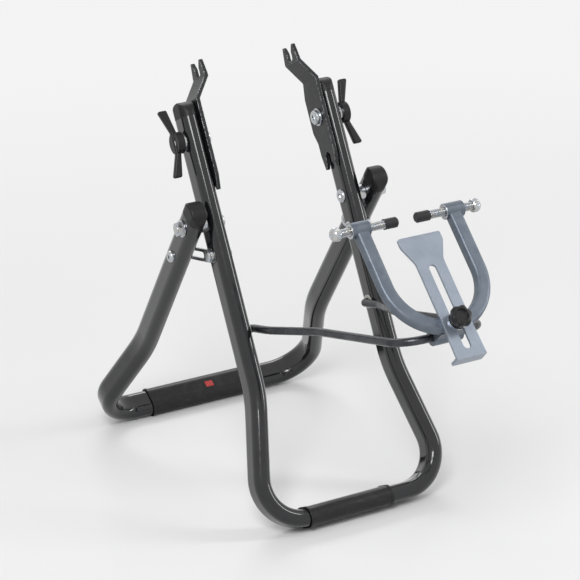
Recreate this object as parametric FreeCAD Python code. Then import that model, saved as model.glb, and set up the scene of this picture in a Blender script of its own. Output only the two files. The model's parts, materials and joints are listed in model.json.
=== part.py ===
import FreeCAD, Part
import math
import os

# Bicycle wheel truing stand. Millimetres, +Z up, front (gauge side) towards -Y, feet on Z = 0.
# "Drop" is a distance from the wheel axle down a leg, "reach" one from a pivot along a part.

V = FreeCAD.Vector
ORIGIN = V(0, 0, 0)
X_AXIS = V(1, 0, 0)
Y_AXIS = V(0, 1, 0)
Z_AXIS = V(0, 0, 1)

# Wheel that the stand holds
rear_hub_width = 130.0
front_hub_width = 100.0
axle_diameter = 10.0
hub_side_clearance = 0.65

# Fits and gaps
running_gap = 0.3
pin_clearance = 0.08
slot_clearance = 0.2
plug_clearance = 0.2
cut_overrun = 2.0

# Flat oval tube of both legs, long way square to the plane of the leg
tube_width = 17.5
tube_depth = 29.0
tube_wall = 1.5

# Front leg
front_lean = 27.53
front_leg_drop = 453.1
front_top_drop = 42.0
front_flare_half_width = 98.0
front_flare_angle = 13.0
front_corner_radius = 40.0
front_flare_radius = 139.0

# Rear leg, hinged outside the front leg
hinge_drop = 148.8
leg_gap = 7.0
rear_lean = 35.143
rear_top_rise = 15.0
rear_flare_half_width = 124.8
rear_flare_angle = 14.6
rear_corner_radius = 39.0
rear_flare_radius = 150.0

# End caps and foot sleeves
cap_rise = 16.0
cap_plug_length = 9.0
cap_edge_radius = 2.5
sleeve_wall = 1.2
sleeve_fit = 0.1
sleeve_flat_depth = 0.4
front_sleeve_length = 95.0
front_sleeve_shift = -12.0
rear_sleeve_length = 136.0
sticker_length = 9.0
sticker_width = 7.0
sticker_thickness = 0.3
sticker_shift = 5.0

# Hinge of the two legs
hinge_radius = 4.0
hinge_head_radius = 7.0
hinge_head_height = 3.0
hinge_spacer_radius = 8.0
hinge_nut_flats = 13.0
hinge_nut_sides = 6
hinge_nut_height = 5.0
hinge_flange_radius = 8.5
hinge_flange_height = 1.3
hinge_tail = 1.2

# Slotted stays that stop the legs
stay_pin_reach = 32.2
stay_bolt_reach = 46.0
stay_pin_radius = 3.0
stay_thickness = 3.0
stay_width = 13.0
stay_end_margin = 3.5
stay_collar_radius = 7.0
stay_collar_height = 0.7
stay_head_radius = 5.5
stay_head_height = 1.7
rivet_head_height = 2.2
stop_head_radius = 6.0
stop_head_height = 3.5

# Double-ended hub holders
holder_drop = 65.0
holder_short_arm = 42.0
holder_thickness = 4.0
holder_lean = 36.0
holder_bend_reach = 38.0
holder_tip_margin = 7.0
fork_half_width = 14.0
fork_tip_half_width = 11.0
fork_mouth_half_width = 8.0
fork_taper_reach = 15.0
holder_straight_edge = 15.0
holder_bulge = 19.0
bulge_long_reach = 22.0
bulge_long_run_out = 17.0
bulge_short_reach = 14.0
bulge_short_run_out = 12.0
bulge_radius = 8.0
holder_bolt_radius = 4.0
holder_head_radius = 7.5
holder_head_height = 4.6
holder_washer_radius = 9.0
holder_washer_height = 0.8

# Wing knobs outside the front leg
knob_collar_radius = 8.5
knob_collar_height = 3.0
knob_hub_radius = 11.0
knob_hub_height = 7.5
wing_span = 68.0
wing_thickness = 6.0
wing_root_height = 2.0
wing_tip_start = 8.0
wing_tip_end = 17.5
wing_valley = 9.0
wing_edge_radius = 1.8
holder_bolt_end = 8.0

# Wire bail that carries the gauge
bail_drop = 259.5
bail_rise_angle = 15.0
bail_radius = 4.0
bail_reach = 259.2
bail_bend_radius = 5.0
bail_end_depth = 8.0
bail_taper_start = 34.0
bail_taper_end = 100.0
bail_taper_radius = 60.0
bail_half_width = 45.5
bail_corner_radius = 25.0
bush_flange_radius = 7.0
bush_flange_height = 1.0
bush_radius = 5.5
bush_length = 5.0

# Gauge: cast U with side screws, sliding centring plate and clamp knob
gauge_angle = 44.0
gauge_bend_radius = 49.5
gauge_bar_width = 13.5
gauge_bar_thickness = 11.0
gauge_edge_radius = 3.0
gauge_screw_reach = 110.4
gauge_boss_radius = 7.5
gauge_boss_inner = 41.0
gauge_boss_outer = 60.0
gauge_stand_off = 18.0
barrel_radius = 8.0
barrel_length = 30.0
barrel_web = 12.0

# Centring plate
plate_thickness = 3.0
plate_fan_width = 45.0
plate_shank_width = 29.0
plate_fan_reach = 89.5
plate_fan_depth = 9.0
plate_neck_reach = 62.5
plate_tail_reach = 36.0
plate_tail_width = 31.0
plate_lip_height = 10.0
plate_slot_width = 8.0
plate_slot_front = 27.5
plate_slot_rear = 58.5
plate_corner_radius = 2.0
plate_neck_radius = 14.0

# Clamp of the centring plate
stud_radius = 3.0
stud_seat_depth = 8.0
stud_reach = 8.0
clamp_washer_radius = 9.0
clamp_washer_height = 1.2
clamp_knob_radius = 10.5
clamp_knob_height = 12.0
clamp_knob_skirt = 3.0
clamp_knob_waist_radius = 7.5
clamp_knob_edge = 1.5
clamp_lobe_count = 6
clamp_lobe_depth = 1.6
clamp_lobe_radius = 3.0

# Side screws of the gauge
side_screw_radius = 4.0
screw_tip_end = 10.0
screw_tip_length = 14.0
screw_tip_radius = 5.0
screw_tip_edge = 1.2
screw_tip_socket = 6.0
screw_head_start = 71.0
screw_head_height = 8.0
screw_head_radius = 6.5
screw_head_edge = 1.0
screw_head_socket = 5.0

# Sizes that follow from the ones above
front_outer = (rear_hub_width / 2 + hub_side_clearance + holder_thickness + running_gap
               + tube_width)
front_half_width = front_outer - tube_width / 2
front_inner = front_outer - tube_width
rear_inner = front_outer + leg_gap
rear_half_width = rear_inner + tube_width / 2
rear_outer = rear_inner + tube_width
foot_radius = tube_width / 2 + sleeve_fit + sleeve_wall - sleeve_flat_depth
foot_half_flat = (tube_depth - tube_width) / 2

lean = math.radians(front_lean)
hub_height = front_leg_drop * math.cos(lean) + foot_half_flat * math.sin(lean) + foot_radius
hinge_height = hub_height - hinge_drop * math.cos(lean)
# The rear leg is as long as it must be to stand on the same floor as the front leg
spread_lean = math.radians(rear_lean)
rear_leg_reach = ((hinge_height - foot_radius - foot_half_flat * math.sin(spread_lean))
                  / math.cos(spread_lean))
opening_angle = front_lean + rear_lean


def place(origin, tilt):
    """Frame at an origin, turned about X by a tilt in degrees."""
    return FreeCAD.Placement(origin, FreeCAD.Rotation(X_AXIS, tilt))


hub_point = V(0, 0, hub_height)
front_frame = place(hub_point, -front_lean)
rear_frame = place(front_frame.multVec(V(0, 0, -hinge_drop)), rear_lean)
bail_frame = place(front_frame.multVec(V(0, 0, -bail_drop)), -bail_rise_angle)
gauge_frame_place = place(bail_frame.multVec(V(0, -bail_reach, 0)), gauge_angle - 90.0)

# The stay's end rides on the stop bolt: distance from pin to bolt, legs open and legs folded
spread = math.radians(opening_angle)
stay_bolt_along = stay_bolt_reach * math.cos(spread) - stay_pin_reach
stay_bolt_across = stay_bolt_reach * math.sin(spread)
stay_open_reach = math.hypot(stay_bolt_along, stay_bolt_across)
stay_folded_reach = stay_bolt_reach - stay_pin_reach
stay_open_angle = math.degrees(math.atan2(stay_bolt_across, stay_bolt_along))
stay_frame = place(front_frame.multVec(V(0, 0, -hinge_drop - stay_pin_reach)),
                   stay_open_angle - front_lean)

# Shapes used again and again


def line(start, end):
    return Part.LineSegment(start, end).toShape()


def sharp_face(points):
    return Part.Face(Part.makePolygon(points + points[:1]))


def corner_arc(before, corner, after, radius):
    """Entry, middle and leaving point of the arc that rounds a corner."""
    back = (before - corner).normalize()
    ahead = (after - corner).normalize()
    half_turn = (math.pi - back.getAngle(ahead)) / 2
    reach = radius * math.tan(half_turn)
    middle_way = (back + ahead).normalize()
    middle = corner + middle_way * (radius / math.cos(half_turn) - radius)
    return corner + back * reach, middle, corner + ahead * reach


def bent_bar(points, radii, section):
    """Bar of straight runs joined by tangent bends, one radius for each inner point.

    The section is a function that gives the bar's face at a point, across a direction.
    """
    runs = []
    start = points[0]
    for before, corner, after, radius in zip(points, points[1:], points[2:], radii):
        ahead = (corner - before).normalize()
        onwards = (after - corner).normalize()
        turn = ahead.getAngle(onwards)
        reach = radius * math.tan(turn / 2)
        entry = corner - ahead * reach
        axis = ahead.cross(onwards).normalize()
        centre = entry + axis.cross(ahead) * radius
        runs.append(section(start, ahead).extrude(entry - start))
        runs.append(section(entry, ahead).revolve(centre, axis, math.degrees(turn)))
        start = corner + onwards * reach
    last_run = points[-1] - start
    last_direction = (points[-1] - points[-2]).normalize()
    runs.append(section(start, last_direction).extrude(last_run))
    return runs[0].fuse(runs[1:]).removeSplitter()


def rounded_face(points, radii):
    """Flat face through the points; a corner with a radius of zero stays sharp."""
    count = len(points)
    corners = []
    for index, corner in enumerate(points):
        if radii[index] > 0:
            after = points[(index + 1) % count]
            corners.append(corner_arc(points[index - 1], corner, after, radii[index]))
        else:
            corners.append((corner, None, corner))
    edges = []
    for index, (entry, middle, leave) in enumerate(corners):
        if middle is not None:
            edges.append(Part.Arc(entry, middle, leave).toShape())
        edges.append(line(leave, corners[(index + 1) % count][0]))
    return Part.Face(Part.Wire(edges))


def flat_oval(width, depth, centre, direction):
    """Flat oval face across a direction, its long way along Y."""
    side = Y_AXIS.cross(direction) * (width / 2)
    half = Y_AXIS * ((depth - width) / 2)
    tip = Y_AXIS * (depth / 2)
    return Part.Face(Part.Wire([
        line(centre + side - half, centre + side + half),
        Part.Arc(centre + side + half, centre + tip, centre - side + half).toShape(),
        line(centre - side + half, centre - side - half),
        Part.Arc(centre - side - half, centre - tip, centre + side - half).toShape()]))


def oval_bar(width, depth, z, height):
    """Upright solid bar of flat oval section on the Z axis."""
    return flat_oval(width, depth, V(0, 0, z), Z_AXIS).extrude(V(0, 0, height))


def turned(profile):
    """Solid turned about the X axis from a list of (x, radius) points."""
    return sharp_face([V(x, 0, radius) for x, radius in profile]).revolve(ORIGIN, X_AXIS, 360)


def drill(x, z, radius, length):
    """Cylinder along X from x, used to cut a hole."""
    return Part.makeCylinder(radius, length, V(x, 0, z), X_AXIS)


def hex_bar(flats, x, height):
    """Hexagonal bar along X with its outer corners chamfered."""
    corner_radius = flats / 2 / math.cos(math.pi / hinge_nut_sides)
    points = []
    for index in range(hinge_nut_sides):
        angle = 2 * math.pi * index / hinge_nut_sides
        points.append(V(x, corner_radius * math.cos(angle), corner_radius * math.sin(angle)))
    bar = sharp_face(points).extrude(V(height, 0, 0))
    chamfer = corner_radius - flats / 2
    rounding = turned([(x, 0), (x, corner_radius), (x + height - chamfer / 2, corner_radius),
                       (x + height, flats / 2), (x + height, 0)])
    return bar.common(rounding)


def mirrored(shape):
    return shape.mirror(ORIGIN, X_AXIS)


def placed(shape, frame):
    moved = shape.copy()
    moved.Placement = frame.multiply(moved.Placement)
    return moved


# Legs


def leg_corners(half_width, flare_half_width, flare_angle, corner_radius, top, bottom):
    """Corners of a leg's centreline: straight sides, a flare, and the foot bar."""
    flare = math.radians(flare_angle)
    corner_x = (flare_half_width - corner_radius + corner_radius * math.cos(flare)
                + corner_radius * (1 + math.sin(flare)) * math.tan(flare))
    flare_z = bottom + (corner_x - half_width) / math.tan(flare)
    return [V(-half_width, 0, top), V(-half_width, 0, flare_z), V(-corner_x, 0, bottom),
            V(corner_x, 0, bottom), V(half_width, 0, flare_z), V(half_width, 0, top)]


def outer_section(centre, direction):
    return flat_oval(tube_width, tube_depth, centre, direction)


def bore_section(centre, direction):
    return flat_oval(tube_width - 2 * tube_wall, tube_depth - 2 * tube_wall, centre, direction)


def leg_tube(corners, flare_radius, corner_radius):
    radii = [flare_radius, corner_radius, corner_radius, flare_radius]
    return bent_bar(corners, radii, outer_section).cut(bent_bar(corners, radii, bore_section))


def cross_holes(inner, outer, z, radius):
    """Holes through both side tubes, from an inner to an outer distance from the middle."""
    hole = drill(inner - cut_overrun, z, radius, outer - inner + 2 * cut_overrun)
    return hole.fuse(mirrored(hole))


def front_leg():
    corners = leg_corners(front_half_width, front_flare_half_width, front_flare_angle,
                          front_corner_radius, -front_top_drop, -front_leg_drop)
    tube = leg_tube(corners, front_flare_radius, front_corner_radius)
    stay_drop = hinge_drop + stay_pin_reach
    tube = tube.cut(cross_holes(front_inner, front_outer, -holder_drop,
                                holder_bolt_radius + pin_clearance))
    tube = tube.cut(cross_holes(front_inner, front_outer, -hinge_drop,
                                hinge_radius + pin_clearance))
    tube = tube.cut(cross_holes(front_inner, front_outer, -stay_drop,
                                stay_pin_radius + pin_clearance))
    return tube.cut(cross_holes(front_inner, front_inner + tube_wall, -bail_drop,
                                bush_radius + pin_clearance))


def rear_leg():
    corners = leg_corners(rear_half_width, rear_flare_half_width, rear_flare_angle,
                          rear_corner_radius, rear_top_rise, -rear_leg_reach)
    tube = leg_tube(corners, rear_flare_radius, rear_corner_radius)
    tube = tube.cut(cross_holes(rear_inner, rear_outer, 0, hinge_radius + pin_clearance))
    return tube.cut(cross_holes(rear_inner, rear_outer, -stay_bolt_reach,
                                stay_pin_radius + pin_clearance))


def end_cap(x, z):
    """Plastic cap of a tube end: a plug inside the tube under a domed head."""
    head = oval_bar(tube_width, tube_depth, 0, cap_rise)
    dome = Part.makeCylinder(tube_depth / 2, tube_width, V(-tube_width / 2, 0, 0), X_AXIS)
    dome = dome.fuse(Part.makeBox(tube_width, tube_depth, cap_rise,
                                  V(-tube_width / 2, -tube_depth / 2, -cap_rise)))
    dome.translate(V(0, 0, cap_rise - tube_depth / 2))
    head = head.common(dome).removeSplitter()
    upper = [edge for edge in head.Edges if edge.BoundBox.ZMax > cap_rise - tube_depth / 4]
    head = head.makeFillet(cap_edge_radius, upper)
    shrink = 2 * (tube_wall + plug_clearance)
    plug = oval_bar(tube_width - shrink, tube_depth - shrink, -cap_plug_length,
                    cap_plug_length)
    cap = head.fuse(plug)
    cap.translate(V(x, 0, z))
    return cap


def foot_sleeve(length, shift, z, lean_angle):
    """Thin sleeve round a foot bar, flat where it meets the floor."""
    inner_width = tube_width + 2 * sleeve_fit
    inner_depth = tube_depth + 2 * sleeve_fit
    outer = oval_bar(inner_width + 2 * sleeve_wall, inner_depth + 2 * sleeve_wall, 0, length)
    sleeve = outer.cut(oval_bar(inner_width, inner_depth, 0, length))
    sleeve.rotate(ORIGIN, Y_AXIS, 90)
    floor_drop = foot_half_flat * abs(math.sin(math.radians(lean_angle))) + foot_radius
    floor = Part.makeBox(length, inner_depth, cut_overrun,
                         V(0, -inner_depth / 2, -floor_drop - cut_overrun))
    floor.rotate(ORIGIN, X_AXIS, -lean_angle)
    sleeve = sleeve.cut(floor)
    sleeve.translate(V(shift - length / 2, 0, z))
    return sleeve


def sticker():
    """Small plain mark on the front face of the rear foot sleeve."""
    face_x = tube_width / 2 + sleeve_fit + sleeve_wall
    mark = Part.makeBox(sticker_length, sticker_width, sticker_thickness,
                        V(sticker_shift - sticker_length / 2, -sticker_width / 2, face_x))
    mark.translate(V(0, 0, -rear_leg_reach))
    return mark


# Hinge and stays, right-hand side


def hinge_bolt():
    head = front_inner - hinge_head_height
    end = rear_outer + running_gap + hinge_flange_height + hinge_nut_height + hinge_tail
    return turned([(head, 0), (head, hinge_head_radius - hinge_head_height / 2),
                   (head + hinge_head_height / 2, hinge_head_radius),
                   (front_inner, hinge_head_radius), (front_inner, hinge_radius),
                   (end, hinge_radius), (end, 0)])


def hinge_spacer():
    length = leg_gap - running_gap
    ring = drill(front_outer, 0, hinge_spacer_radius, length)
    return ring.cut(drill(front_outer, 0, hinge_radius + pin_clearance, length))


def hinge_nut():
    start = rear_outer + running_gap
    flange = drill(start, 0, hinge_flange_radius, hinge_flange_height)
    nut = flange.fuse(hex_bar(hinge_nut_flats, start + hinge_flange_height, hinge_nut_height))
    height = hinge_flange_height + hinge_nut_height
    return nut.cut(drill(start, 0, hinge_radius + pin_clearance, height))


stay_inner = front_outer + stay_collar_height + running_gap
stay_outer = stay_inner + stay_thickness


def stay():
    """Slotted stay, pin at the origin, pointing down -Z."""
    slot_half = stay_pin_radius + slot_clearance
    end = stay_open_reach + slot_half + stay_end_margin
    bar = slot_shape(stay_inner, stay_thickness, stay_width / 2, 0, end - stay_width / 2)
    slot = slot_shape(stay_inner, stay_thickness, slot_half, stay_folded_reach,
                      stay_open_reach)
    hole = drill(stay_inner, 0, stay_pin_radius + pin_clearance, stay_thickness)
    return bar.cut(slot).cut(hole)


def slot_shape(x, thickness, half_width, start, end):
    """Flat bar with round ends between two reaches down -Z."""
    middle = Part.makeBox(thickness, 2 * half_width, end - start, V(x, -half_width, -end))
    round_ends = [drill(x, -start, half_width, thickness), drill(x, -end, half_width, thickness)]
    return middle.fuse(round_ends).removeSplitter()


def stay_pin():
    """Rivet through the front tube that carries the stay."""
    inner = front_inner - rivet_head_height
    collar = front_outer + stay_collar_height
    head = stay_outer + running_gap
    return turned([(inner, 0), (inner, stay_head_radius - rivet_head_height / 2),
                   (front_inner - rivet_head_height / 2, stay_head_radius),
                   (front_inner, stay_head_radius), (front_inner, stay_pin_radius),
                   (front_outer, stay_pin_radius), (front_outer, stay_collar_radius),
                   (collar, stay_collar_radius), (collar, stay_pin_radius),
                   (head, stay_pin_radius), (head, stay_head_radius),
                   (head + stay_head_height / 2, stay_head_radius),
                   (head + stay_head_height, stay_head_radius - stay_head_height),
                   (head + stay_head_height, 0)])


def stop_bolt():
    """Bolt through the rear tube; its end stops just short of the stay."""
    end = stay_outer + running_gap
    edge = stop_head_height / 2
    return turned([(end, 0), (end, stay_pin_radius), (rear_outer, stay_pin_radius),
                   (rear_outer, stop_head_radius), (rear_outer + edge, stop_head_radius),
                   (rear_outer + stop_head_height, stop_head_radius - edge),
                   (rear_outer + stop_head_height, 0)])


# Hub holders, right-hand side, pivot at the origin, front hub end up

holder_outer = front_inner - running_gap
holder_inner = holder_outer - holder_thickness
holder_end_inner = front_hub_width / 2 + hub_side_clearance
fork_tip_reach = axle_diameter / 2 + holder_tip_margin


def arm_outline(arm, bulge_reach, bulge_run_out):
    """(y, z, corner radius) from the bulge round one fork to the straight front edge."""
    tip = arm + fork_tip_reach
    taper = tip - fork_taper_reach
    return [(holder_bulge, bulge_reach, bulge_radius),
            (fork_half_width, bulge_reach + bulge_run_out, bulge_radius),
            (fork_half_width, taper, 0), (fork_tip_half_width, tip, 0),
            (-fork_tip_half_width, tip, 0), (-holder_straight_edge, taper, 0)]


def holder_outline():
    """One plate with a fork at each end, straight along its front edge."""
    x = holder_end_inner - cut_overrun
    upper = arm_outline(holder_drop, bulge_long_reach, bulge_long_run_out)
    lower = arm_outline(holder_short_arm, bulge_short_reach, bulge_short_run_out)
    corners = upper + [(y, -z, radius) for y, z, radius in reversed(lower)]
    return rounded_face([V(x, y, z) for y, z, _ in corners],
                        [radius for _, _, radius in corners])


def fork_slot(arm):
    """Mouth and axle slot of a fork that points up, cut along X."""
    x = holder_end_inner - cut_overrun
    depth = front_inner - x
    half = axle_diameter / 2
    mouth = arm + fork_tip_reach + cut_overrun
    flare = fork_mouth_half_width + cut_overrun
    v_face = sharp_face([V(x, -half, arm), V(x, half, arm), V(x, half, arm + half),
                         V(x, flare, mouth), V(x, -flare, mouth), V(x, -half, arm + half)])
    return v_face.extrude(V(depth, 0, 0)).fuse(drill(x, arm, half, depth))


def holder_strip():
    """Side view of the plate: straight, then leaning inwards, then upright again."""
    y = -holder_bulge - cut_overrun
    bottom = -holder_short_arm - fork_tip_reach
    top = holder_drop + fork_tip_reach
    offset = holder_thickness * math.tan(math.radians(holder_lean) / 2)
    step = holder_inner - holder_end_inner
    lean_top = holder_bend_reach + step / math.tan(math.radians(holder_lean))
    points = [V(holder_inner, y, bottom), V(holder_inner, y, holder_bend_reach),
              V(holder_end_inner, y, lean_top), V(holder_end_inner, y, top),
              V(holder_end_inner + holder_thickness, y, top),
              V(holder_end_inner + holder_thickness, y, lean_top + offset),
              V(holder_outer, y, holder_bend_reach + offset), V(holder_outer, y, bottom)]
    return sharp_face(points).extrude(V(0, -2 * y, 0))


def hub_holder():
    width = front_inner - holder_end_inner + cut_overrun
    blank = holder_outline().extrude(V(width, 0, 0)).common(holder_strip())
    lower_slot = fork_slot(holder_short_arm).mirror(ORIGIN, Z_AXIS)
    bolt_hole = drill(holder_inner, 0, holder_bolt_radius + pin_clearance, holder_thickness)
    return blank.cut(fork_slot(holder_drop)).cut(lower_slot).cut(bolt_hole)


holder_head_face = holder_inner - running_gap - holder_washer_height


def holder_bolt():
    """Round-headed bolt through holder, tube and wing knob."""
    top = holder_head_face - holder_head_height
    edge = holder_head_height / 3
    end = front_outer + running_gap + knob_collar_height + holder_bolt_end
    return turned([(top, 0), (top, holder_head_radius - edge),
                   (top + edge, holder_head_radius), (holder_head_face, holder_head_radius),
                   (holder_head_face, holder_bolt_radius), (end, holder_bolt_radius),
                   (end, 0)])


def holder_washer():
    ring = drill(holder_head_face, 0, holder_washer_radius, holder_washer_height)
    return ring.cut(drill(holder_head_face, 0, holder_bolt_radius + pin_clearance,
                          holder_washer_height))


knob_start = front_outer + running_gap
knob_base = knob_start + knob_collar_height


def knob_collar():
    """Metal insert of the wing knob, which bears on the tube."""
    ring = drill(knob_start, 0, knob_collar_radius, knob_collar_height)
    return ring.cut(drill(knob_start, 0, holder_bolt_radius + pin_clearance,
                          knob_collar_height))


def wing_knob():
    """Plastic knob with two wings that splay outwards."""
    hub = drill(knob_base, 0, knob_hub_radius, knob_hub_height)
    y = -wing_thickness / 2
    tip = wing_span / 2
    root = knob_base + wing_root_height
    half = [(knob_hub_radius / 2, root), (tip, knob_base + wing_tip_start),
            (tip, knob_base + wing_tip_end), (knob_hub_radius, knob_base + wing_valley)]
    points = [V(x, y, z) for z, x in half]
    points += [V(x, y, -z) for z, x in reversed(half)]
    wings = rounded_face(points, [0, wing_root_height, wing_root_height, 0] * 2)
    wings = wings.extrude(V(0, wing_thickness, 0))
    rim = [edge for edge in wings.Edges if edge.BoundBox.YLength < wing_edge_radius]
    wings = wings.makeFillet(wing_edge_radius, rim)
    bore = drill(knob_base, 0, holder_bolt_radius + pin_clearance,
                 holder_bolt_end + running_gap)
    return hub.fuse(wings).cut(bore)


# Bail

bail_arm = front_inner - bush_flange_height - running_gap - bail_bend_radius


def wire_section(centre, direction):
    return Part.Face(Part.Wire(Part.makeCircle(bail_radius, centre, direction)))


def bail_rod():
    """Round wire bent to a bow, both ends turned out into the front tubes."""
    end_x = front_inner + tube_wall + bail_end_depth
    half = [V(end_x, 0, 0), V(bail_arm, 0, 0), V(bail_arm, -bail_taper_start, 0),
            V(bail_half_width, -bail_taper_end, 0), V(bail_half_width, -bail_reach, 0)]
    points = half + [V(-p.x, p.y, 0) for p in reversed(half)]
    radii = [bail_bend_radius, bail_taper_radius, bail_taper_radius, bail_corner_radius]
    return bent_bar(points, radii + radii[::-1], wire_section)


def bail_bush():
    """Flanged plastic bush in the inner wall of the front tube."""
    start = front_inner - bush_flange_height
    flange = drill(start, 0, bush_flange_radius, bush_flange_height)
    bush = flange.fuse(drill(front_inner, 0, bush_radius, bush_length))
    return bush.cut(drill(start, 0, bail_radius + pin_clearance,
                          bush_flange_height + bush_length))


# Gauge, tilt axis at the origin, arms towards +Z, plate side towards -Y


def gauge_frame():
    """Cast U with a screw boss at each tip and a barrel under its base."""
    half = gauge_bar_width / 2
    outer = gauge_bend_radius + half
    inner = gauge_bend_radius - half
    y = -gauge_stand_off - gauge_bar_thickness / 2
    centre = V(0, y, gauge_bend_radius)
    top = gauge_screw_reach
    outline = Part.Wire([
        line(V(-outer, y, top), V(-outer, y, centre.z)),
        Part.Arc(V(-outer, y, centre.z), V(0, y, centre.z - outer),
                 V(outer, y, centre.z)).toShape(),
        line(V(outer, y, centre.z), V(outer, y, top)),
        line(V(outer, y, top), V(inner, y, top)),
        line(V(inner, y, top), V(inner, y, centre.z)),
        Part.Arc(V(inner, y, centre.z), V(0, y, centre.z - inner),
                 V(-inner, y, centre.z)).toShape(),
        line(V(-inner, y, centre.z), V(-inner, y, top)),
        line(V(-inner, y, top), V(-outer, y, top))])
    body = Part.Face(outline).extrude(V(0, gauge_bar_thickness, 0))
    rims = [edge for edge in body.Edges
            if edge.BoundBox.YLength < gauge_edge_radius and edge.BoundBox.ZLength > half]
    body = body.makeFillet(gauge_edge_radius, rims)
    boss_length = gauge_boss_outer - gauge_boss_inner
    boss = Part.makeCylinder(gauge_boss_radius, boss_length,
                             V(gauge_boss_inner, -gauge_stand_off, top), X_AXIS)
    barrel = Part.makeCylinder(barrel_radius, barrel_length,
                               V(-barrel_length / 2, 0, 0), X_AXIS)
    web = Part.makeBox(barrel_length, gauge_stand_off, barrel_web,
                       V(-barrel_length / 2, -gauge_stand_off, -barrel_web / 2))
    body = body.fuse([boss, mirrored(boss), barrel, web]).removeSplitter()
    hole_radius = side_screw_radius + pin_clearance
    span = 2 * (gauge_boss_outer + cut_overrun)
    screw_hole = Part.makeCylinder(hole_radius, span,
                                   V(-span / 2, -gauge_stand_off, top), X_AXIS)
    barrel_span = barrel_length + 2 * cut_overrun
    bore = Part.makeCylinder(bail_radius + pin_clearance, barrel_span,
                             V(-barrel_span / 2, 0, 0), X_AXIS)
    seat = Part.makeCylinder(stud_radius, stud_seat_depth, V(0, y, 0), Y_AXIS)
    return body.cut(screw_hole).cut(bore).cut(seat)


plate_underside = -gauge_stand_off - gauge_bar_thickness / 2 - running_gap
plate_top = plate_underside - plate_thickness


def centring_plate():
    """Fan-headed slotted plate with its tail bent down as a thumb lip."""
    fan = plate_fan_width / 2
    shank = plate_shank_width / 2
    tail = plate_tail_width / 2
    fan_root = plate_fan_reach - plate_fan_depth
    right = [V(tail, plate_top, -plate_tail_reach), V(shank, plate_top, 0),
             V(shank, plate_top, plate_neck_reach), V(fan, plate_top, fan_root),
             V(fan, plate_top, plate_fan_reach)]
    points = right + [V(-p.x, p.y, p.z) for p in reversed(right)]
    radii = [0, plate_neck_radius, plate_neck_radius, plate_neck_radius / 2,
             plate_corner_radius]
    plate = rounded_face(points, radii + radii[::-1]).extrude(V(0, plate_thickness, 0))
    lip = Part.makeBox(plate_tail_width, plate_thickness + plate_lip_height,
                       plate_thickness, V(-tail, plate_top, -plate_tail_reach))
    return plate.fuse(lip).removeSplitter().cut(plate_slot())


def plate_slot():
    """Slot along the plate, round at both ends."""
    half = plate_slot_width / 2
    front = -plate_slot_front + half
    rear = plate_slot_rear - half
    slot = Part.makeBox(plate_slot_width, plate_thickness, rear - front,
                        V(-half, plate_top, front))
    for z in (front, rear):
        end = Part.makeCylinder(half, plate_thickness, V(0, plate_top, z), Y_AXIS)
        slot = slot.fuse(end)
    return slot


def outwards(shape):
    """Turn a piece made along X to point along -Y, out of the gauge."""
    shape.rotate(ORIGIN, Z_AXIS, -90)
    return shape


washer_start = -plate_top + running_gap
clamp_start = washer_start + clamp_washer_height + running_gap


def clamp_stud():
    start = gauge_stand_off + gauge_bar_thickness / 2 - stud_seat_depth
    end = clamp_start + stud_reach
    return outwards(drill(start, 0, stud_radius, end - start))


def clamp_washer():
    ring = drill(washer_start, 0, clamp_washer_radius, clamp_washer_height)
    return outwards(ring.cut(drill(washer_start, 0, stud_radius + pin_clearance,
                                   clamp_washer_height)))


def clamp_knob():
    """Lobed plastic knob on the stud, closed on top."""
    top = clamp_start + clamp_knob_height
    grip = clamp_start + clamp_knob_skirt
    knob = turned([(clamp_start, 0), (clamp_start, clamp_knob_waist_radius),
                   (grip, clamp_knob_waist_radius), (grip + clamp_knob_edge,
                                                     clamp_knob_radius),
                   (top - clamp_knob_edge, clamp_knob_radius),
                   (top, clamp_knob_radius - clamp_knob_edge), (top, 0)])
    groove_radius = clamp_knob_radius + clamp_lobe_radius - clamp_lobe_depth
    for index in range(clamp_lobe_count):
        angle = 2 * math.pi * (index + 0.5) / clamp_lobe_count
        groove = Part.makeCylinder(
            clamp_lobe_radius, top - grip + cut_overrun,
            V(grip, groove_radius * math.cos(angle), groove_radius * math.sin(angle)),
            X_AXIS)
        knob = knob.cut(groove)
    bore = drill(clamp_start, 0, stud_radius + pin_clearance, stud_reach + running_gap)
    return outwards(knob.cut(bore))


# Side screws, right-hand side, axis on X


def side_screw():
    start = screw_tip_end + screw_tip_length - screw_tip_socket
    end = screw_head_start + screw_head_socket
    return drill(start, 0, side_screw_radius, end - start)


def screw_tip():
    """Plastic tip that touches the rim, pushed over the screw's end."""
    end = screw_tip_end + screw_tip_length
    tip = turned([(screw_tip_end, 0), (screw_tip_end, screw_tip_radius - screw_tip_edge),
                  (screw_tip_end + screw_tip_edge, screw_tip_radius),
                  (end, screw_tip_radius), (end, 0)])
    return tip.cut(drill(end - screw_tip_socket, 0, side_screw_radius, screw_tip_socket))


def screw_head():
    """Round finger head pushed over the screw's outer end."""
    end = screw_head_start + screw_head_height
    head = turned([(screw_head_start, 0),
                   (screw_head_start, screw_head_radius - screw_head_edge),
                   (screw_head_start + screw_head_edge, screw_head_radius),
                   (end - 2 * screw_head_edge, screw_head_radius),
                   (end, screw_head_radius - 2 * screw_head_edge), (end, 0)])
    return head.cut(drill(screw_head_start, 0, side_screw_radius, screw_head_socket))


# Assembly

pieces = {}


def add(name, shape, frame):
    pieces[name] = placed(shape, frame)


def add_pair(name, shape, frame):
    """The same piece on both sides; the left one is the mirror image."""
    add(name + "_right", shape, frame)
    add(name + "_left", mirrored(shape), frame)


def down(frame, drop):
    """Frame moved down its own leg."""
    return place(frame.multVec(V(0, 0, -drop)), math.degrees(frame.Rotation.Angle)
                 * frame.Rotation.Axis.x)


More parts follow.
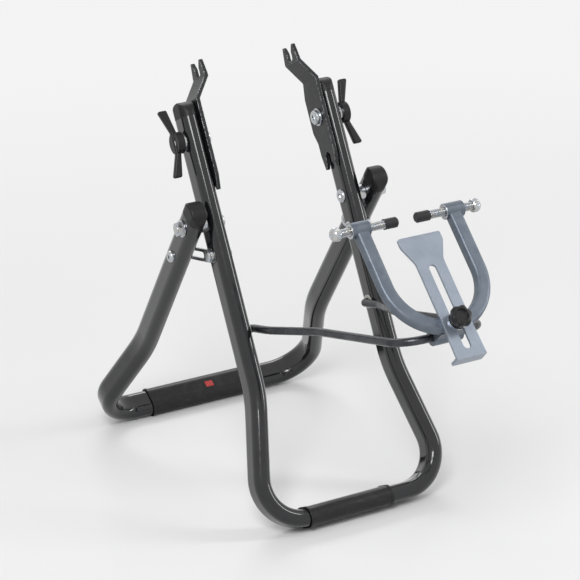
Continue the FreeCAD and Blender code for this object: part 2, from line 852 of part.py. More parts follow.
holder_frame = down(front_frame, holder_drop)
hinge_front_frame = down(front_frame, hinge_drop)
stay_pin_frame = down(front_frame, hinge_drop + stay_pin_reach)
bush_frame = down(front_frame, bail_drop)
stop_bolt_frame = down(rear_frame, stay_bolt_reach)
screw_frame = gauge_frame_place.multiply(
    FreeCAD.Placement(V(0, -gauge_stand_off, gauge_screw_reach), FreeCAD.Rotation()))

add("front_leg", front_leg(), front_frame)
add("rear_leg", rear_leg(), rear_frame)
add_pair("front_cap", end_cap(front_half_width, -front_top_drop), front_frame)
add_pair("rear_cap", end_cap(rear_half_width, rear_top_rise), rear_frame)
add("front_foot_sleeve", foot_sleeve(front_sleeve_length, front_sleeve_shift,
                                     -front_leg_drop, -front_lean), front_frame)
add("rear_foot_sleeve", foot_sleeve(rear_sleeve_length, 0, -rear_leg_reach, rear_lean),
    rear_frame)
add("red_sticker", sticker(), rear_frame)
add_pair("hinge_bolt", hinge_bolt(), hinge_front_frame)
add_pair("hinge_spacer", hinge_spacer(), hinge_front_frame)
add_pair("hinge_nut", hinge_nut(), hinge_front_frame)
add_pair("stay", stay(), stay_frame)
add_pair("stay_pin", stay_pin(), stay_pin_frame)
add_pair("stop_bolt", stop_bolt(), stop_bolt_frame)
add_pair("hub_holder", hub_holder(), holder_frame)
add_pair("holder_bolt", holder_bolt(), holder_frame)
add_pair("holder_washer", holder_washer(), holder_frame)
add_pair("knob_collar", knob_collar(), holder_frame)
add_pair("wing_knob", wing_knob(), holder_frame)
add("bail_rod", bail_rod(), bail_frame)
add_pair("bail_bush", bail_bush(), bush_frame)
add("gauge_frame", gauge_frame(), gauge_frame_place)
add("centring_plate", centring_plate(), gauge_frame_place)
add("clamp_stud", clamp_stud(), gauge_frame_place)
add("clamp_washer", clamp_washer(), gauge_frame_place)
add("clamp_knob", clamp_knob(), gauge_frame_place)
add_pair("side_screw", side_screw(), screw_frame)
add_pair("screw_tip", screw_tip(), screw_frame)
add_pair("screw_head", screw_head(), screw_frame)

# The origin goes to the middle of the floor under the whole stand
whole = Part.makeCompound(list(pieces.values())).optimalBoundingBox(False)
centre_shift = V(0, -(whole.YMin + whole.YMax) / 2, 0)

os.makedirs("parts", exist_ok=True)
for name, shape in pieces.items():
    shape.translate(centre_shift)
    shape.exportStep(os.path.join("parts", name + ".step"))
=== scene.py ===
"""Looks of a folding bicycle wheel truing stand: finishes, threads and small trim round the solids.

Lengths are metres unless a comment says mm. X runs across the stand, -Y is the gauge side and
+Z is up.
"""
import json
import math

import bmesh
import bpy
from mathutils import Matrix, Vector

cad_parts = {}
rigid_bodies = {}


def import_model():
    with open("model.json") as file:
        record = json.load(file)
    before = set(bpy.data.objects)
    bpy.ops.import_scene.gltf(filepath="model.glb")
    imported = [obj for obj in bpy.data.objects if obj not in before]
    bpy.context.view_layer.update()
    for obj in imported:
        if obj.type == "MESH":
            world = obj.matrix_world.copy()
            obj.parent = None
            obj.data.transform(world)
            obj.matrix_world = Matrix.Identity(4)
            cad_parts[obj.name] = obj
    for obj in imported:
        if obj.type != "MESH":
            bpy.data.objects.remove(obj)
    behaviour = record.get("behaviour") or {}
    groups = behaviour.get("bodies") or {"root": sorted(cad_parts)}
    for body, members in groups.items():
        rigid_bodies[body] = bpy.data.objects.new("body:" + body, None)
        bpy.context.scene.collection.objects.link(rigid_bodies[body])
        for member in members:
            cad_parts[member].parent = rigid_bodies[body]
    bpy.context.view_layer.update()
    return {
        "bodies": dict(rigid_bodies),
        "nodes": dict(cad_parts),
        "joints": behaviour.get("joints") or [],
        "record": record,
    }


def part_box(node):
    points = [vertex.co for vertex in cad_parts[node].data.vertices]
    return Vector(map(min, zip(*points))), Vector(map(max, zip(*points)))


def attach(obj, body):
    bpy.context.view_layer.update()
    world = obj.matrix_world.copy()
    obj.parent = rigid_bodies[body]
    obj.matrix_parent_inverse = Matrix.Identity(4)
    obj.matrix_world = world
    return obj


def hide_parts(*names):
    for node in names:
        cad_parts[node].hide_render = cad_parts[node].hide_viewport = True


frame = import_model()
nodes = frame["nodes"]
mm = 0.001
SIDES = {"left": -1, "right": 1}


# Places read from the frame

joints = {joint["name"]: joint for joint in frame["joints"]}
across_stand = Vector((1, 0, 0))
hinge_point = Vector(joints["leg_fold"]["pos_m"])
gauge_point = Vector(joints["gauge_tilt"]["pos_m"])
gauge_up = Vector(joints["plate_slide"]["axis"]).normalized()
gauge_out = Vector(joints["clamp_knob_turn"]["axis"]).normalized()
gauge_turn = Matrix((across_stand, -gauge_out, gauge_up)).to_euler("XYZ")


def middle(name):
    low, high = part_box(name)
    return (low + high) / 2


def side_span(name):
    """Nearest and farthest distance of a right-hand node from the stand's middle plane."""
    low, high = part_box(name + "_right")
    return low.x, high.x


# Material building blocks

# Sockets of the Mix node for each kind of value: first input, second input, output
MIX_SOCKETS = {"RGBA": (6, 7, 2), "FLOAT": (2, 3, 0)}
BEVEL_SAMPLES = 4
# Cosine between a face and its rounded surroundings, on open faces and on full edges
OPEN_FACE, FULL_EDGE = 0.99, 0.9
# Upward part of the normal where dust begins and where it lies fully
DUST_BEGINS, DUST_FULL = 0.2, 1.0


class Finish:
    """A Principled material being built, with texture coordinates in metres on the resting part."""

    def __init__(self, name, turn=(0, 0, 0)):
        self.material = bpy.data.materials.new(name)
        self.material.use_nodes = True
        self.tree = self.material.node_tree
        self.shader = self.tree.nodes["Principled BSDF"]
        place = self.tree.nodes.new("ShaderNodeTexCoord")
        mapping = self.tree.nodes.new("ShaderNodeMapping")
        mapping.inputs["Rotation"].default_value = turn
        self.tree.links.new(place.outputs["Object"], mapping.inputs["Vector"])
        self.place = mapping.outputs["Vector"]

    def add(self, kind, **settings):
        made = self.tree.nodes.new(kind)
        for key, value in settings.items():
            setattr(made, key, value)
        return made

    def feed(self, socket, value):
        """Link or set an input; a colour is given as three numbers."""
        if isinstance(value, bpy.types.NodeSocket):
            self.tree.links.new(value, socket)
        elif isinstance(value, tuple):
            socket.default_value = (*value, 1.0)
        else:
            socket.default_value = value

    def math(self, operation, first, second):
        made = self.add("ShaderNodeMath", operation=operation)
        self.feed(made.inputs[0], first)
        self.feed(made.inputs[1], second)
        return made.outputs[0]

    def times(self, first, second):
        return self.math("MULTIPLY", first, second)

    def stretched(self, factors):
        made = self.add("ShaderNodeVectorMath", operation="MULTIPLY")
        self.feed(made.inputs[0], self.place)
        made.inputs[1].default_value = factors
        return made.outputs[0]

    def noise(self, grain, detail=3.0, factors=None, offset=0.0):
        """Noise with features about one grain across, drawn out where a factor is under 1."""
        made = self.add("ShaderNodeTexNoise", noise_dimensions="4D")
        self.feed(made.inputs["Vector"], self.stretched(factors) if factors else self.place)
        made.inputs["Scale"].default_value = 1 / grain
        made.inputs["Detail"].default_value = detail
        made.inputs["W"].default_value = offset
        return made.outputs[0]

    def between(self, value, low=0.3, high=0.7):
        """0 at the low value and 1 at the high one, smoothly in between."""
        made = self.add("ShaderNodeMapRange", interpolation_type="SMOOTHSTEP")
        self.feed(made.inputs["Value"], value)
        made.inputs["From Min"].default_value = low
        made.inputs["From Max"].default_value = high
        return made.outputs[0]

    def patches(self, grain, detail=3.0, low=0.3, high=0.7, factors=None, offset=0.0):
        return self.between(self.noise(grain, detail, factors, offset), low, high)

    def mixed(self, kind, factor, first, second):
        made = self.add("ShaderNodeMix", data_type=kind)
        low, high, result = MIX_SOCKETS[kind]
        self.feed(made.inputs[0], factor)
        self.feed(made.inputs[low], first)
        self.feed(made.inputs[high], second)
        return made.outputs[result]

    def blend(self, factor, first, second):
        return self.mixed("RGBA", factor, first, second)

    def mix(self, factor, first, second):
        return self.mixed("FLOAT", factor, first, second)

    def rounded_normal(self, radius):
        made = self.add("ShaderNodeBevel", samples=BEVEL_SAMPLES)
        made.inputs["Radius"].default_value = radius
        return made.outputs[0]

    def face_normal(self):
        return self.add("ShaderNodeNewGeometry").outputs["Normal"]

    def worn_edges(self, radius, grain, low, high, offset):
        """Patches along sharp edges where the surface is rubbed away."""
        dot = self.add("ShaderNodeVectorMath", operation="DOT_PRODUCT")
        self.feed(dot.inputs[0], self.rounded_normal(radius))
        self.feed(dot.inputs[1], self.face_normal())
        edges = self.between(dot.outputs["Value"], OPEN_FACE, FULL_EDGE)
        return self.times(edges, self.patches(grain, 5.0, low, high, offset=offset))

    def dust(self, grain, low, high, offset):
        """Patches on the faces that look up."""
        split = self.add("ShaderNodeSeparateXYZ")
        self.feed(split.inputs[0], self.face_normal())
        upward = self.between(split.outputs["Z"], DUST_BEGINS, DUST_FULL)
        return self.times(upward, self.patches(grain, 6.0, low, high, offset=offset))

    def bump(self, height, depth, rounding=0.0):
        """Relief of a depth in metres, over edges rounded by a radius."""
        made = self.add("ShaderNodeBump")
        self.feed(made.inputs["Height"], height)
        made.inputs["Distance"].default_value = depth
        if rounding > 0:
            self.feed(made.inputs["Normal"], self.rounded_normal(rounding))
        self.feed(self.shader.inputs["Normal"], made.outputs[0])

    def set(self, **values):
        for key, value in values.items():
            name = key.replace("_", " ").title().replace("Ior", "IOR")
            self.feed(self.shader.inputs[name], value)
        return self


# Finishes

def gloss_paint():
    """Black gloss paint with fine orange peel, faint clouds, dust on top and a few hairlines."""
    made = Finish("gloss_black_paint")
    deep, cloud = (0.005, 0.0055, 0.0065), (0.0085, 0.009, 0.0105)
    dusty = (0.16, 0.155, 0.15)
    colour = made.blend(made.patches(30 * mm, 2.0), deep, cloud)
    colour = made.blend(made.times(made.dust(9 * mm, 0.5, 0.8, 3.0), 0.12), colour, dusty)
    hairlines = made.patches(0.9 * mm, 2.0, 0.66, 0.74, (1, 1, 0.05), 7.0)
    rough = made.mix(made.patches(6 * mm, 5.0, 0.35, 0.7, offset=1.0), 0.10, 0.17)
    rough = made.math("ADD", rough, made.times(hairlines, 0.10))
    made.bump(made.noise(2.6 * mm, 1.0, offset=2.0), 0.006 * mm)
    return made.set(base_color=colour, roughness=rough, specular_ior_level=0.3,
                    coat_weight=0.6, coat_roughness=0.04).material


def satin_paint():
    """Satin black paint on steel plate, rubbed through to metal along its edges."""
    made = Finish("satin_black_paint")
    deep, cloud = (0.008, 0.0085, 0.0095), (0.014, 0.0145, 0.016)
    steel = (0.42, 0.43, 0.45)
    worn = made.worn_edges(0.9 * mm, 3 * mm, 0.40, 0.54, 5.0)
    colour = made.blend(made.patches(12 * mm), deep, cloud)
    colour = made.blend(worn, colour, steel)
    rough = made.mix(made.patches(2 * mm, 5.0, offset=1.0), 0.30, 0.42)
    made.bump(made.noise(0.8 * mm, 3.0, offset=2.0), 0.02 * mm, 0.35 * mm)
    return made.set(base_color=colour, metallic=worn, roughness=rough, specular_ior_level=0.35,
                    coat_weight=0.1, coat_roughness=0.15).material


def dark_wire():
    """Dark plated steel wire, drawn along its length."""
    made = Finish("dark_plated_wire")
    deep, pale = (0.04, 0.042, 0.046), (0.07, 0.073, 0.08)
    drawn = made.noise(1.2 * mm, 4.0, (1, 0.06, 0.06), 4.0)
    colour = made.blend(made.patches(14 * mm), deep, pale)
    rough = made.mix(made.between(drawn, 0.35, 0.65), 0.24, 0.36)
    made.bump(drawn, 0.01 * mm)
    return made.set(base_color=colour, metallic=0.85, roughness=rough).material


def bright_zinc():
    """Bright zinc plating with cloudy gloss and a faint warm and cool tint."""
    made = Finish("bright_zinc")
    zinc, dull = (0.50, 0.515, 0.535), (0.32, 0.325, 0.335)
    warm = tuple(c * f for c, f in zip(zinc, (1.03, 0.99, 0.92)))
    cool = tuple(c * f for c, f in zip(zinc, (0.95, 0.99, 1.04)))
    colour = made.blend(made.patches(5 * mm, 2.0, 0.35, 0.65), cool, warm)
    colour = made.blend(made.patches(1.5 * mm, 5.0, 0.62, 0.75, offset=4.0), colour, dull)
    rough = made.mix(made.patches(1.1 * mm, 4.0, offset=2.0), 0.17, 0.31)
    made.bump(made.noise(0.5 * mm, 2.0, offset=6.0), 0.008 * mm, 0.25 * mm)
    return made.set(base_color=colour, metallic=1.0, roughness=rough).material


def cast_aluminium():
    """Tumbled aluminium casting with a soft grain and small pits."""
    made = Finish("cast_aluminium", gauge_turn)
    dark, light = (0.115, 0.137, 0.168), (0.148, 0.17, 0.203)
    in_pits = (0.07, 0.08, 0.095)
    grain = made.noise(0.7 * mm, 4.0)
    pits = made.patches(1.4 * mm, 2.0, 0.70, 0.80, offset=8.0)
    colour = made.blend(made.patches(10 * mm), dark, light)
    colour = made.blend(made.times(pits, 0.5), colour, in_pits)
    rough = made.mix(made.between(grain), 0.36, 0.50)
    made.bump(made.math("SUBTRACT", grain, pits), 0.045 * mm, 0.3 * mm)
    return made.set(base_color=colour, metallic=0.75, roughness=rough).material


def satin_silver():
    """Steel plate with a satin silver coat over faint brush marks, rubbed bright on its edges."""
    made = Finish("satin_silver_plate", gauge_turn)
    dark, light = (0.245, 0.28, 0.335), (0.28, 0.315, 0.37)
    flake, bare = (0.36, 0.395, 0.45), (0.56, 0.58, 0.62)
    brushed = made.noise(0.5 * mm, 3.0, (1, 1, 0.03), 1.0)
    flakes = made.patches(0.35 * mm, 1.0, 0.58, 0.72, offset=6.0)
    colour = made.blend(made.patches(14 * mm), dark, light)
    colour = made.blend(made.times(flakes, 0.35), colour, flake)
    colour = made.blend(made.worn_edges(0.4 * mm, 3 * mm, 0.35, 0.6, 3.0), colour, bare)
    rough = made.mix(made.between(brushed), 0.30, 0.42)
    made.bump(brushed, 0.004 * mm, 0.3 * mm)
    return made.set(base_color=colour, metallic=0.7, roughness=rough).material


def moulded_plastic(name, shade, rough_low, rough_high, grain):
    """Moulded plastic with a spark-eroded grain, paler on rubbed edges."""
    made = Finish(name)
    pale = tuple(c * 2.6 for c in shade)
    deep = tuple(c * 0.8 for c in shade)
    texture = made.noise(grain, 2.0, offset=5.0)
    colour = made.blend(made.patches(6 * mm), deep, shade)
    colour = made.blend(made.worn_edges(0.6 * mm, 2 * mm, 0.4, 0.7, 3.0), colour, pale)
    rough = made.mix(made.between(texture), rough_low, rough_high)
    made.bump(texture, 0.03 * mm, 0.3 * mm)
    return made.set(base_color=colour, roughness=rough, specular_ior_level=0.3).material


def foot_rubber():
    """Satin black rubber with a fine grain, scuffed paler in patches and dusty on top."""
    made = Finish("foot_rubber")
    deep, cloud = (0.007, 0.007, 0.0075), (0.013, 0.013, 0.0135)
    scuffed, dusty = (0.035, 0.035, 0.036), (0.13, 0.125, 0.12)
    fine = made.noise(0.6 * mm, 3.0, offset=2.0)
    scuffs = made.patches(5 * mm, 6.0, 0.55, 0.75, (0.4, 1, 1), 6.0)
    colour = made.blend(made.patches(7 * mm, 5.0, 0.4, 0.8), deep, cloud)
    colour = made.blend(made.times(scuffs, 0.5), colour, scuffed)
    colour = made.blend(made.times(made.dust(11 * mm, 0.45, 0.8, 9.0), 0.15), colour, dusty)
    rough = made.mix(made.between(fine), 0.27, 0.38)
    rough = made.math("ADD", rough, made.times(scuffs, 0.15))
    made.bump(fine, 0.02 * mm, 0.3 * mm)
    return made.set(base_color=colour, roughness=rough, specular_ior_level=0.35).material


def red_vinyl():
    """Thin glossy red film."""
    made = Finish("red_vinyl")
    deep, light = (0.42, 0.025, 0.02), (0.52, 0.035, 0.028)
    colour = made.blend(made.patches(2 * mm, 4.0), deep, light)
    rough = made.mix(made.patches(1 * mm, 4.0, offset=2.0), 0.25, 0.36)
    made.bump(made.noise(0.8 * mm, offset=4.0), 0.01 * mm)
    return made.set(base_color=colour, roughness=rough,
                    coat_weight=0.4, coat_roughness=0.1).material


finishes = {
    "tube_black": gloss_paint(),
    "holder_black": satin_paint(),
    "bail_steel": dark_wire(),
    "zinc_steel": bright_zinc(),
    "cast_aluminium": cast_aluminium(),
    "plate_steel": satin_silver(),
    "knob_plastic": moulded_plastic("knob_plastic", (0.010, 0.010, 0.011), 0.30, 0.42, 0.7 * mm),
    "cap_plastic": moulded_plastic("cap_plastic", (0.009, 0.009, 0.010), 0.38, 0.52, 0.5 * mm),
    "tip_plastic": moulded_plastic("tip_plastic", (0.022, 0.022, 0.024), 0.35, 0.5, 0.5 * mm),
    "bush_nylon": moulded_plastic("bush_nylon", (0.5, 0.5, 0.46), 0.4, 0.55, 0.6 * mm),
    "foot_rubber": foot_rubber(),
    "red_mark": red_vinyl(),
}

SMOOTH_ANGLE = math.radians(28)
for subpart in frame["record"]["subparts"]:
    shown = nodes[subpart["node"]]
    shown.data.materials.clear()
    shown.data.materials.append(finishes[subpart["material_slot"]])
    shown.data.shade_smooth()
    shown.data.set_sharp_from_angle(angle=SMOOTH_ANGLE)


# Shapes of the added pieces: rings of points round an axis

RING_POINTS = 48
FINE_RING_POINTS = 96
MERGE_DISTANCE = 0.001 * mm


def circle(radius):
    return lambda angle: radius


def polygon(flats, sides=6):
    """Reach to the side of a regular polygon, from its width across the flats."""
    step = 2 * math.pi / sides
    return lambda angle: flats / 2 / math.cos(angle % step - step / 2)


def fluted(radius, depth, flutes):
    return lambda angle: radius - depth * (0.5 - 0.5 * math.cos(flutes * angle))


def ring_points(reach, count):
    for index in range(count):
        angle = 2 * math.pi * index / count
        yield reach(angle) * math.cos(angle), reach(angle) * math.sin(angle)


def join_loops(mesh, loops):
    """Bands of four-sided faces from each loop of points to the next."""
    for first, second in zip(loops, loops[1:]):
        for index in range(len(first)):
            mesh.faces.new((first[index - 1], first[index], second[index], second[index - 1]))


def ringed(rings, count=RING_POINTS, half_flat=0.0, hollow=False, into=None):
    """Mesh along X through rings of (x, reach at an angle); a half flat makes flat ovals."""
    made = bmesh.new() if into is None else into
    loops = []
    for x, reach in rings:
        loops.append([made.verts.new((x, y + math.copysign(half_flat, y), z))
                      for y, z in ring_points(reach, count)])
    if hollow:
        join_loops(made, loops + loops[:1])
    else:
        join_loops(made, loops)
        made.faces.new(loops[0])
        made.faces.new(loops[-1])
    return made


# Thread of four rows of points in each pitch: two along its crest and two along its root
THREAD_AROUND = 24
THREAD_ROWS = ((0.0, True), (0.15, True), (0.5, False), (0.65, False))
THREAD_DEPTH = 0.61
SPARE_TURNS = 2


def threaded(start, end, radius, pitch):
    """Rod along X with a helical thread, whose rows of points climb one pitch in each turn."""
    root = radius - THREAD_DEPTH * pitch
    made = bmesh.new()
    rows = []
    for turn in range(-SPARE_TURNS, math.ceil((end - start) / pitch) + 2 * SPARE_TURNS):
        for part, crest in THREAD_ROWS:
            row = []
            for step in range(THREAD_AROUND):
                angle = 2 * math.pi * step / THREAD_AROUND
                x = start + pitch * (turn + part + step / THREAD_AROUND)
                x = min(max(x, start), end)
                reach = min(radius if crest else root, root + min(x - start, end - x))
                row.append(made.verts.new((x, reach * math.cos(angle), reach * math.sin(angle))))
            rows.append(row)
    per_turn = len(THREAD_ROWS)
    closed = [row + [rows[index + per_turn][0]] for index, row in enumerate(rows[:-per_turn])]
    for first, second in zip(closed, closed[1:]):
        for step in range(THREAD_AROUND):
            made.faces.new((first[step], first[step + 1], second[step + 1], second[step]))
    bmesh.ops.remove_doubles(made, verts=made.verts, dist=MERGE_DISTANCE)
    bmesh.ops.delete(made, geom=[v for v in made.verts if not v.link_faces], context="VERTS")
    bmesh.ops.holes_fill(made, edges=[e for e in made.edges if e.is_boundary])
    return made


def moved(mesh, place, first, second, third):
    """Mesh carried to a place, with its X, Y and Z along three directions."""
    for vertex in mesh.verts:
        vertex.co = place + first * vertex.co.x + second * vertex.co.y + third * vertex.co.z
    return mesh


def add_piece(name, mesh, body, slot, *instead_of):
    """Show a mesh as a piece that rides on a body and may stand in the place of nodes."""
    bmesh.ops.recalc_face_normals(mesh, faces=mesh.faces)
    if mesh.calc_volume(signed=True) < 0:
        bmesh.ops.reverse_faces(mesh, faces=mesh.faces)
    shape = bpy.data.meshes.new(name)
    mesh.to_mesh(shape)
    mesh.free()
    piece = bpy.data.objects.new(name, shape)
    bpy.context.scene.collection.objects.link(piece)
    shape.materials.append(finishes[slot])
    shape.shade_smooth()
    shape.set_sharp_from_angle(angle=SMOOTH_ANGLE)
    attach(piece, body)
    if instead_of:
        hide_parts(*instead_of)
    return piece


def add_side_pair(node, piece, make, body, replaced=True):
    """Zinc plated piece on the axis of a pair of nodes, made outwards along X, and its mirror."""
    for side, sign in SIDES.items():
        centre = middle(node + "_" + side)
        mesh = moved(make(), Vector((0, centre.y, centre.z)), across_stand * sign,
                     Vector((0, 1, 0)), Vector((0, 0, 1)))
        seat = body if body in frame["bodies"] else body + "_" + side
        instead_of = [node + "_" + side] if replaced else []
        add_piece(piece + "_" + side, mesh, seat, "zinc_steel", *instead_of)


# Fasteners: bolts with a six-sided socket, threaded side screws with knurled heads

# Rings of (mm below the top, mm across flats) for the socket, (mm below the top, radius in mm)
# for the head, and (mm before the end, radius in mm) for the tip
BOLTS = {
    "holder_bolt": {
        "socket": ((2.6, 5), (0.4, 5), (0, 5.8)),
        "head": ((0, 5.6), (0.4, 6.5), (1.3, 7.3), (2.2, 7.5), (4.6, 7.5), (4.6, 4)),
        "tip": ((0.7, 4), (0, 3.3)),
    },
    "hinge_bolt": {
        "socket": ((2, 5), (0.3, 5), (0, 5.6)),
        "head": ((0, 5.3), (0.4, 6.1), (1.2, 6.8), (1.9, 7), (3, 7), (3, 4)),
        "tip": ((0.8, 4), (0, 3.2)),
    },
    "stop_bolt": {
        "socket": ((2.2, 4), (0.3, 4), (0, 4.6)),
        "head": ((0, 4.3), (0.4, 5.1), (1.1, 5.7), (1.9, 6), (3.5, 6), (3.5, 3)),
        "tip": ((0, 3),),
    },
}
SCREW_RADIUS = 4 * mm
SCREW_PITCH = 1.25 * mm
KNURL_FLUTES = 24
# Steel rings on the gauge's screw bosses: boss faces and the way out of them, thickness, radii
BOSS_FACES = ((41 * mm, -1), (60 * mm, 1))
BOSS_RING_HEIGHT = 0.4 * mm
BOSS_RING_FOOT = (4.4 * mm, 7.1 * mm)
BOSS_RING_FACE = (6.8 * mm, 4.6 * mm)


def socket_bolt(name, head_outside=False):
    """Bolt from the bottom of its socket, over its head and along its shank to its tip."""
    near, far = side_span(name)
    top, end = (far, near) if head_outside else (near, far)
    down = math.copysign(mm, end - top)
    sizes = BOLTS[name]
    rings = [(top + down * depth, polygon(flats * mm)) for depth, flats in sizes["socket"]]
    rings += [(top + down * depth, circle(radius * mm)) for depth, radius in sizes["head"]]
    rings += [(end - down * back, circle(radius * mm)) for back, radius in sizes["tip"]]
    return ringed(rings)


def side_screw():
    start, end = side_span("side_screw")
    return threaded(start, end, SCREW_RADIUS, SCREW_PITCH)


def screw_head():
    start, end = side_span("screw_head")
    grip = fluted(6.5 * mm, 0.45 * mm, KNURL_FLUTES)
    return ringed([(start, circle(5.5 * mm)), (start + 0.9 * mm, circle(6.2 * mm)),
                   (start + 1.3 * mm, grip), (end - 2.6 * mm, grip),
                   (end - 2.2 * mm, circle(6.2 * mm)), (end - 0.6 * mm, circle(5 * mm)),
                   (end, circle(4.3 * mm)), (end, circle(3.2 * mm)),
                   (end - 0.6 * mm, circle(2.7 * mm))], FINE_RING_POINTS)


def boss_rings():
    both = bmesh.new()
    for face, out in BOSS_FACES:
        raised = face + out * BOSS_RING_HEIGHT
        ringed([(face, circle(radius)) for radius in BOSS_RING_FOOT]
               + [(raised, circle(radius)) for radius in BOSS_RING_FACE], hollow=True, into=both)
    return both


add_side_pair("holder_bolt", "holder_bolt_turned", lambda: socket_bolt("holder_bolt"),
              "front_frame")
add_side_pair("hinge_bolt", "hinge_bolt_turned", lambda: socket_bolt("hinge_bolt"),
              "front_frame")
add_side_pair("stop_bolt", "stop_bolt_turned",
              lambda: socket_bolt("stop_bolt", head_outside=True), "rear_frame")
add_side_pair("side_screw", "side_screw_turned", side_screw, "side_screw")
add_side_pair("screw_head", "screw_head_turned", screw_head, "side_screw")
add_side_pair("side_screw", "boss_ring", boss_rings, "gauge", replaced=False)


# Clamp knob with soft lobes and a well in its top; its rings are (mm along, reach)

KNOB_START = 28.6 * mm
KNOB_LOBES = 6


def lobes(radius, depth):
    return fluted(radius * mm, depth * mm, KNOB_LOBES)


knob_rings = [(0.0, circle(7.5 * mm)), (2.6, circle(7.5 * mm)), (3.3, lobes(8.9, 0.9)),
              (4.1, lobes(10.1, 1.5)), (5.0, lobes(10.5, 1.6)), (10.0, lobes(10.5, 1.6)),
              (11.0, lobes(10.2, 1.6)), (11.7, lobes(9.5, 1.5)), (12.0, lobes(8.7, 1.3)),
              (12.0, circle(6.3 * mm)), (11.6, circle(5.8 * mm)), (10.0, circle(5.5 * mm)),
              (9.8, circle(5.2 * mm))]
knob = ringed([(KNOB_START + along * mm, reach) for along, reach in knob_rings],
              FINE_RING_POINTS)
add_piece("clamp_knob_moulded", moved(knob, gauge_point, gauge_out, across_stand, gauge_up),
          "clamp_knob", "knob_plastic", "clamp_knob")


# Parting line of the casting, a low ridge round the outside of the gauge's U

U_BEND_RADIUS = 49.5 * mm
U_OUTER = U_BEND_RADIUS + 6.75 * mm
U_STAND_OFF = 18 * mm
RIDGE_TOP = 102 * mm
RIDGE_STEPS = 40
RIDGE_SUNK = 0.2 * mm
RIDGE_PROUD = 0.3 * mm
RIDGE_HALF_WIDTH = 0.7 * mm


def parting_ridge():
    """Closed strip of triangular section; X is across the gauge, Y out of it, Z up its arms."""
    path = [(Vector((-U_OUTER, 0, RIDGE_TOP)), Vector((-1, 0, 0)))]
    for step in range(RIDGE_STEPS + 1):
        angle = math.pi * (1 + step / RIDGE_STEPS)
        out = Vector((math.cos(angle), 0, math.sin(angle)))
        path.append((Vector((0, 0, U_BEND_RADIUS)) + out * U_OUTER, out))
    path.append((Vector((U_OUTER, 0, RIDGE_TOP)), Vector((1, 0, 0))))
    side = Vector((0, RIDGE_HALF_WIDTH, 0))
    made = bmesh.new()
    loops = []
    for point, out in path:
        foot = point - out * RIDGE_SUNK
        corners = (foot + side, point + out * RIDGE_PROUD, foot - side)
        loops.append([made.verts.new(corner) for corner in corners])
    join_loops(made, loops)
    made.faces.new(loops[0])
    made.faces.new(loops[-1])
    return made


add_piece("gauge_parting_ridge",
          moved(parting_ridge(), gauge_point + gauge_out * U_STAND_OFF,
                across_stand, gauge_out, gauge_up),
          "gauge", "cast_aluminium")


# Rims at both ends of the foot sleeves, worn flat on the floor like the sleeves

SLEEVE_HALF_WIDTH = 10.05 * mm
SLEEVE_HALF_FLAT = 5.75 * mm
# Section of a rim in mm: along the sleeve from its end, and out from its surface
RIM = ((0.0, -1.0), (0.0, 0.4), (0.4, 0.8), (2.4, 0.8), (3.4, -0.1), (3.4, -1.0))


def add_sleeve_rims(node, body):
    low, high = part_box(node)
    bar_y = (low.y + high.y) / 2
    to_hinge = Vector((0, hinge_point.y - bar_y, hinge_point.z - SLEEVE_HALF_WIDTH)).normalized()
    long_way = to_hinge.cross(across_stand)
    bar_z = high.z - SLEEVE_HALF_WIDTH - abs(long_way.z) * SLEEVE_HALF_FLAT
    for end, x, inwards in (("left", low.x, 1), ("right", high.x, -1)):
        rings = [(x + inwards * along * mm, circle(SLEEVE_HALF_WIDTH + out * mm))
                 for along, out in RIM]
        rim = moved(ringed(rings, half_flat=SLEEVE_HALF_FLAT, hollow=True),
                    Vector((0, bar_y, bar_z)), across_stand, long_way, to_hinge)
        for vertex in rim.verts:
            vertex.co.z = max(vertex.co.z, low.z)
        add_piece(node + "_rim_" + end, rim, body, "foot_rubber")


add_sleeve_rims("front_foot_sleeve", "front_frame")
add_sleeve_rims("rear_foot_sleeve", "rear_frame")


# Pressed and cut plates: the solids' own meshes, with their sheared edges rounded

FLAT_ANGLE = math.radians(0.5)
ROUNDED_ANGLE = math.radians(40)
ROUNDING_SEGMENTS = 2


def add_rounded_plate(node, body, slot, radius):
    mesh = bmesh.new()
    mesh.from_mesh(nodes[node].data)
    bmesh.ops.remove_doubles(mesh, verts=mesh.verts, dist=MERGE_DISTANCE)
    bmesh.ops.dissolve_limit(mesh, angle_limit=FLAT_ANGLE, verts=mesh.verts, edges=mesh.edges)
    piece = add_piece(node + "_plate", mesh, body, slot, node)
    rounding = piece.modifiers.new("rounding", "BEVEL")
    rounding.width = radius
    rounding.segments = ROUNDING_SEGMENTS
    rounding.limit_method = "ANGLE"
    rounding.angle_limit = ROUNDED_ANGLE
    rounding.harden_normals = True


for side in SIDES:
    add_rounded_plate("hub_holder_" + side, "holder_" + side, "holder_black", 0.5 * mm)
    add_rounded_plate("stay_" + side, "stay_" + side, "zinc_steel", 0.3 * mm)
add_rounded_plate("centring_plate", "centring_plate", "plate_steel", 0.5 * mm)


# Room: pale floor and backdrop, soft light

BACKDROP = 0.90
WORLD_LIGHT = 0.5
WHITE = (1.0, 1.0, 1.0, 1.0)
FLOOR_COLOUR = (0.80, 0.80, 0.80)
FLOOR_SHADE = 0.985
FLOOR_CLOUDS = 0.25
FLOOR_SIZE = 12.0
# Distances from the stand where the floor begins to run into the backdrop, and where it has
FADE_BEGINS, FADE_ENDS = 0.45, 1.6
STAND_MIDDLE = Vector((0.0, 0.0, 0.2))


def background_rays(tree):
    """1 for the rays that show a background: camera, glossy and transmission rays."""
    path = tree.nodes.new("ShaderNodeLightPath")
    seen = path.outputs["Is Camera Ray"]
    for kind in ("Is Glossy Ray", "Is Transmission Ray"):
        either = tree.nodes.new("ShaderNodeMath")
        either.operation = "MAXIMUM"
        tree.links.new(seen, either.inputs[0])
        tree.links.new(path.outputs[kind], either.inputs[1])
        seen = either.outputs[0]
    return seen


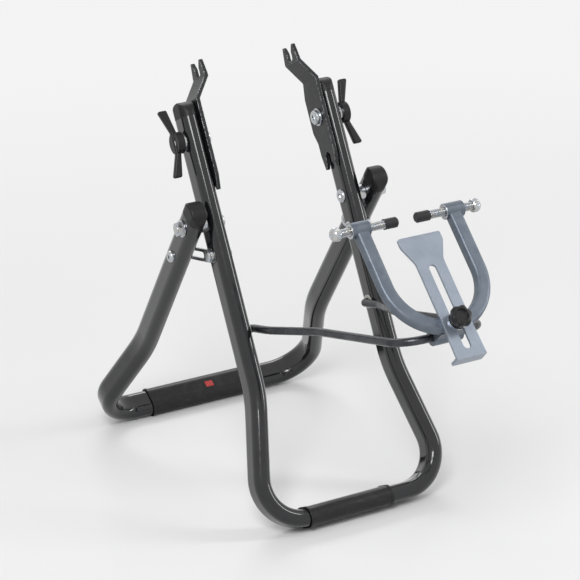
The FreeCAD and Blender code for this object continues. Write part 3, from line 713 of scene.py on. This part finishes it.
def room_material():
    """Pale floor that keeps the shadow and runs into the backdrop's tone far away."""
    made = Finish("pale_floor")
    shaded = tuple(c * FLOOR_SHADE for c in FLOOR_COLOUR)
    colour = made.blend(made.noise(FLOOR_CLOUDS, 4.0), shaded, FLOOR_COLOUR)
    made.set(base_color=colour, roughness=0.7)
    away = made.add("ShaderNodeVectorMath", operation="LENGTH")
    made.feed(away.inputs[0], made.place)
    far = made.between(away.outputs["Value"], FADE_BEGINS, FADE_ENDS)
    glow = made.add("ShaderNodeEmission")
    glow.inputs["Strength"].default_value = BACKDROP
    both = made.add("ShaderNodeMixShader")
    made.feed(both.inputs[0], made.times(far, background_rays(made.tree)))
    made.feed(both.inputs[1], made.shader.outputs[0])
    made.feed(both.inputs[2], glow.outputs[0])
    made.feed(made.tree.nodes["Material Output"].inputs["Surface"], both.outputs[0])
    return made.material


def add_room():
    bpy.ops.mesh.primitive_plane_add(size=FLOOR_SIZE, location=(0, 0, 0))
    floor = bpy.context.object
    floor.name = "floor"
    floor.data.materials.append(room_material())


def add_world():
    world = bpy.data.worlds.new("studio")
    bpy.context.scene.world = world
    world.use_nodes = True
    tree = world.node_tree
    strength = tree.nodes.new("ShaderNodeMix")
    strength.data_type = "FLOAT"
    light, shown, result = MIX_SOCKETS["FLOAT"]
    strength.inputs[light].default_value = WORLD_LIGHT
    strength.inputs[shown].default_value = BACKDROP
    tree.links.new(background_rays(tree), strength.inputs[0])
    background = tree.nodes["Background"]
    background.inputs["Color"].default_value = WHITE
    tree.links.new(strength.outputs[result], background.inputs["Strength"])


def add_softbox(name, place, size, power):
    """Rectangular lamp turned to the stand's middle, with its size in metres and power in watts."""
    lamp = bpy.data.lights.new(name, "AREA")
    lamp.shape = "RECTANGLE"
    lamp.size, lamp.size_y = size
    lamp.energy = power
    lit = bpy.data.objects.new(name, lamp)
    bpy.context.scene.collection.objects.link(lit)
    lit.location = place
    lit.rotation_mode = "QUATERNION"
    lit.rotation_quaternion = (STAND_MIDDLE - Vector(place)).to_track_quat("-Z", "Y")


add_room()
add_world()
add_softbox("key_light", (-1.1, -1.3, 1.9), (0.8, 1.0), 31)
add_softbox("strip_light", (1.7, -0.9, 1.15), (0.25, 1.5), 13)
add_softbox("back_light", (0.5, 1.8, 1.7), (1.4, 0.7), 14)


# Camera at the place where the photograph was taken, turned to the stand

axle = next(m for m in frame["record"]["mounts"] if m["name"] == "front_axle_slot_left")["pos_m"]
CAMERA_FROM_AXLE = Vector((-1.08895, -2.04440, 0.66200))
CAMERA_PLACE = Vector((0.0, axle[1], axle[2])) + CAMERA_FROM_AXLE
CAMERA_AIM = Vector((-0.029, 0.005, 0.222))
CAMERA_ROLL = math.radians(-1.15)
# Lens and sensor width in mm
CAMERA_LENS = 148
CAMERA_SENSOR = 36


def add_camera():
    camera = bpy.data.objects.new("camera", bpy.data.cameras.new("camera"))
    bpy.context.scene.collection.objects.link(camera)
    ahead = (CAMERA_AIM - CAMERA_PLACE).normalized()
    right = ahead.cross(Vector((0, 0, 1))).normalized()
    up = right.cross(ahead)
    rolled_right = right * math.cos(CAMERA_ROLL) + up * math.sin(CAMERA_ROLL)
    rolled_up = up * math.cos(CAMERA_ROLL) - right * math.sin(CAMERA_ROLL)
    turn = Matrix((rolled_right, rolled_up, -ahead)).transposed()
    camera.matrix_world = Matrix.Translation(CAMERA_PLACE) @ turn.to_4x4()
    camera.data.lens = CAMERA_LENS
    camera.data.sensor_width = CAMERA_SENSOR
    bpy.context.scene.camera = camera


add_camera()
bpy.context.scene.view_settings.view_transform = "Standard"
